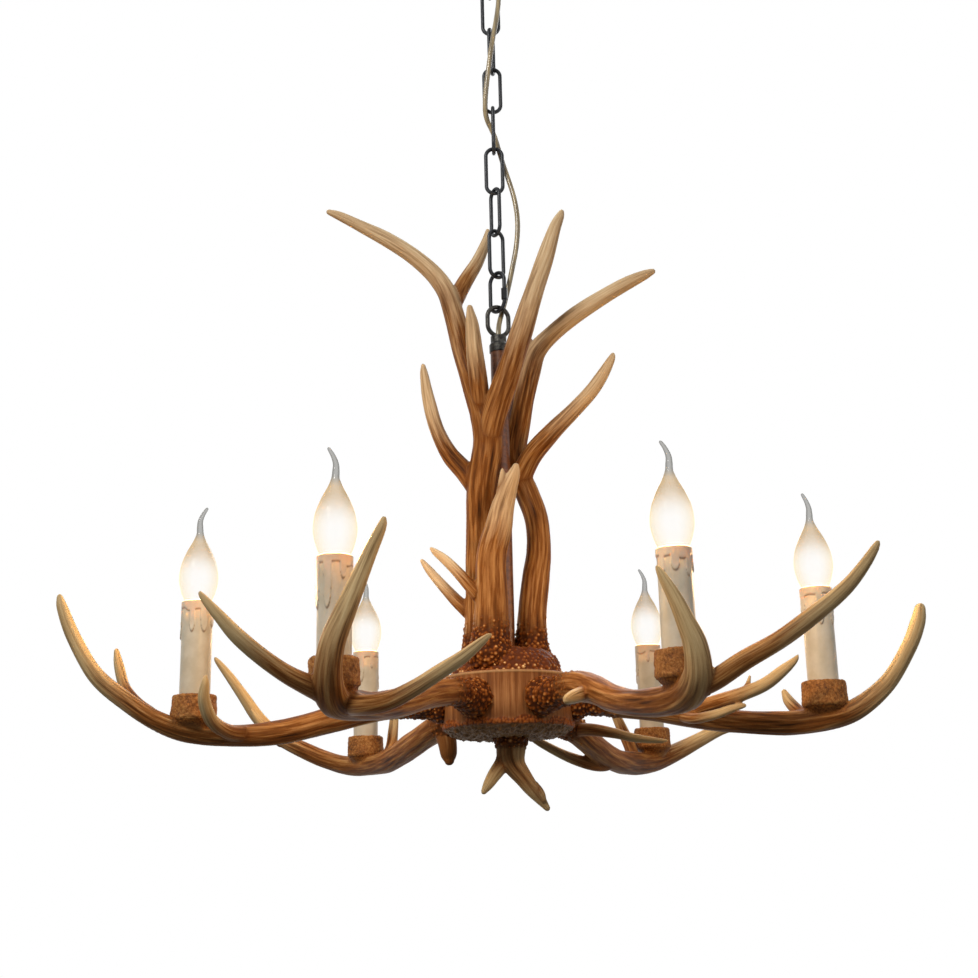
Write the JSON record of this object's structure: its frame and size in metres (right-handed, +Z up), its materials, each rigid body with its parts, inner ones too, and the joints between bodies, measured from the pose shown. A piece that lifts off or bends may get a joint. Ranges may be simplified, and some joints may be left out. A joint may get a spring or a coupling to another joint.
{
  "type": "antler chandelier",
  "caption": "Antler-style candle chandelier hung by a short chain: antler arms stand out of a round hub, forked antlers rise round the centre stem, and a domed cup covers the ceiling fixing.",
  "frame": {"origin": "centre of the crossbar's top face, which lies on the ceiling", "axes": "+Z up out of the ceiling face, -Y towards the side the lamp is seen from, +X to the right"},
  "size_m": [0.7607, 0.6384, 0.9577],
  "materials": {
    "antler": "cast resin, brown antler finish",
    "hub": "cast resin, brown",
    "cup": "cast resin, rust brown",
    "black_steel": "black, satin",
    "dark_steel": "dark bronze, satin",
    "brown_pipe": "brown",
    "zinc": "zinc plated",
    "ivory": "ivory, satin",
    "holder": "black",
    "cap": "nickel plated",
    "glass": "clear",
    "flex": "khaki sleeved",
    "white_plastic": "natural"
  },
  "bodies": {
    "ceiling": {"ceiling_canopy": "black_steel", "ceiling_bracket": "zinc", "bracket_nuts": "zinc", "terminal_block": "white_plastic", "canopy_loop": "dark_steel"},
    "chain_top": {"chain_link_1": "black_steel"},
    "chain": {"chain_link_2": "black_steel", "chain_link_3": "black_steel", "chain_link_4": "black_steel", "chain_link_5": "black_steel", "chain_link_6": "black_steel", "chain_link_7": "black_steel", "cord": "flex"},
    "connector": {"quick_link": "black_steel"},
    "connector_sleeve": {"quick_link_nut": "black_steel"},
    "lamp": {"lamp_loop": "dark_steel", "centre_pipe": "brown_pipe", "threaded_rod": "zinc", "hub_nuts": "zinc", "crown_base": "hub", "crown_screws": "zinc", "crown_antler_1": "antler", "crown_antler_2": "antler", "crown_antler_3": "antler", "hub_body": "hub", "hub_bottom_cover": "hub", "finial_antler": "antler", "arm_nipples": "zinc", "lampholders": "holder", "wire_connectors": "white_plastic", "arm_antler_1": "antler", "arm_antler_2": "antler", "arm_antler_3": "antler", "arm_antler_4": "antler", "arm_antler_5": "antler", "arm_antler_6": "antler", "cup_1": "cup", "cup_2": "cup", "cup_3": "cup", "cup_4": "cup", "cup_5": "cup", "cup_6": "cup", "candle_sleeve_1": "ivory", "candle_sleeve_2": "ivory", "candle_sleeve_3": "ivory", "candle_sleeve_4": "ivory", "candle_sleeve_5": "ivory", "candle_sleeve_6": "ivory"},
    "bulb_1": {"bulb_cap_1": "cap", "bulb_glass_1": "glass"},
    "bulb_2": {"bulb_cap_2": "cap", "bulb_glass_2": "glass"},
    "bulb_3": {"bulb_cap_3": "cap", "bulb_glass_3": "glass"},
    "bulb_4": {"bulb_cap_4": "cap", "bulb_glass_4": "glass"},
    "bulb_5": {"bulb_cap_5": "cap", "bulb_glass_5": "glass"},
    "bulb_6": {"bulb_cap_6": "cap", "bulb_glass_6": "glass"}
  },
  "joints": [
    {"name": "canopy_loop_swing", "type": "hinge", "parent": "ceiling", "child": "chain_top", "pos_m": [0, 0, -0.09425], "axis": [0, 1, 0], "range_deg": [-12, 12], "deforming": ["cord"]},
    {"name": "chain_swing", "type": "hinge", "parent": "chain_top", "child": "chain", "pos_m": [0, 0, -0.14125], "axis": [1, 0, 0], "range_deg": [-12, 12], "deforming": ["cord"]},
    {"name": "connector_swing", "type": "hinge", "parent": "chain", "child": "connector", "pos_m": [0, 0, -0.42475], "axis": [0.8192, 0.5736, 0], "range_deg": [-8, 8], "deforming": ["cord"]},
    {"name": "lamp_swing", "type": "hinge", "parent": "connector", "child": "lamp", "pos_m": [0, 0, -0.4625], "axis": [0.7071, -0.7071, 0], "range_deg": [-8, 8], "deforming": ["cord"]},
    {"name": "connector_sleeve_travel", "type": "slide", "parent": "connector", "child": "connector_sleeve", "axis": [0, 0, 1], "range_m": [0, 0.008]},
    {"name": "bulb_1_unscrew", "type": "slide", "parent": "lamp", "child": "bulb_1", "axis": [0, 0, 1], "range_m": [0, 0.05]},
    {"name": "bulb_2_unscrew", "type": "slide", "parent": "lamp", "child": "bulb_2", "axis": [0, 0, 1], "range_m": [0, 0.05]},
    {"name": "bulb_3_unscrew", "type": "slide", "parent": "lamp", "child": "bulb_3", "axis": [0, 0, 1], "range_m": [0, 0.05]},
    {"name": "bulb_4_unscrew", "type": "slide", "parent": "lamp", "child": "bulb_4", "axis": [0, 0, 1], "range_m": [0, 0.05]},
    {"name": "bulb_5_unscrew", "type": "slide", "parent": "lamp", "child": "bulb_5", "axis": [0, 0, 1], "range_m": [0, 0.05]},
    {"name": "bulb_6_unscrew", "type": "slide", "parent": "lamp", "child": "bulb_6", "axis": [0, 0, 1], "range_m": [0, 0.05]}
  ]
}
